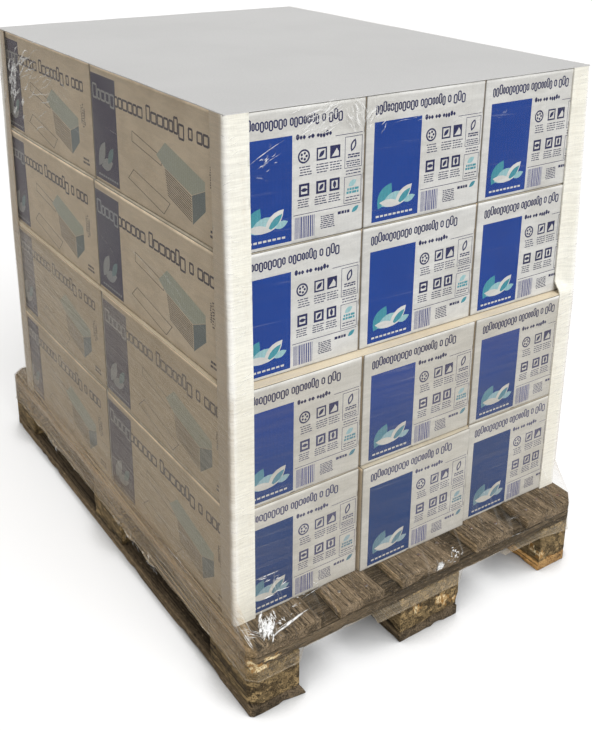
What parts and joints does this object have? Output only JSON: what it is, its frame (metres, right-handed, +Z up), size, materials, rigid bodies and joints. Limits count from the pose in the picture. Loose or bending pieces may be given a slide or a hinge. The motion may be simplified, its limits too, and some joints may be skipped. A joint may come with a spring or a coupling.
{
  "type": "shrink wrapped pallet load",
  "caption": "Stretch-wrapped stack of printed cartons with corner boards on a four-way flat wooden pallet.",
  "frame": {"origin": "on the floor under the middle of the load's bounding box, which is the middle of the pallet", "axes": "+Z up, +Y along the pallet's length away from the near short end, +X across it to the right"},
  "size_m": [0.8018, 1.2022, 1.0425],
  "materials": {
    "carton_board": "printed white-faced board",
    "deck_wood": "weathered softwood, sawn",
    "block_wood": "weathered pressed or sawn block",
    "corner_board": "cream laminated board",
    "layer_sheet": "plain kraft",
    "top_sheet": "plain light grey",
    "film": "clear stretch film"
  },
  "bodies": {
    "root": {"block_back_left": "block_wood", "block_back_middle": "block_wood", "block_back_right": "block_wood", "block_front_left": "block_wood", "block_front_middle": "block_wood", "block_front_right": "block_wood", "block_middle_left": "block_wood", "block_middle_middle": "block_wood", "block_middle_right": "block_wood", "bottom_board_left": "deck_wood", "bottom_board_middle": "deck_wood", "bottom_board_right": "deck_wood", "carton_1_far_left": "carton_board", "carton_1_far_middle": "carton_board", "carton_1_far_right": "carton_board", "carton_1_near_left": "carton_board", "carton_1_near_middle": "carton_board", "carton_1_near_right": "carton_board", "carton_2_far_left": "carton_board", "carton_2_far_middle": "carton_board", "carton_2_far_right": "carton_board", "carton_2_near_left": "carton_board", "carton_2_near_middle": "carton_board", "carton_2_near_right": "carton_board", "carton_3_far_left": "carton_board", "carton_3_far_middle": "carton_board", "carton_3_far_right": "carton_board", "carton_3_near_left": "carton_board", "carton_3_near_middle": "carton_board", "carton_3_near_right": "carton_board", "carton_4_far_left": "carton_board", "carton_4_far_middle": "carton_board", "carton_4_far_right": "carton_board", "carton_4_near_left": "carton_board", "carton_4_near_middle": "carton_board", "carton_4_near_right": "carton_board", "corner_board_back_left": "corner_board", "corner_board_back_right": "corner_board", "corner_board_front_left": "corner_board", "corner_board_front_right": "corner_board", "deck_board_1": "deck_wood", "deck_board_2": "deck_wood", "deck_board_3": "deck_wood", "deck_board_4": "deck_wood", "deck_board_5": "deck_wood", "layer_sheet": "layer_sheet", "stretch_film": "film", "stringer_back": "deck_wood", "stringer_front": "deck_wood", "stringer_middle": "deck_wood", "top_sheet": "top_sheet"}
  },
  "joints": []
}
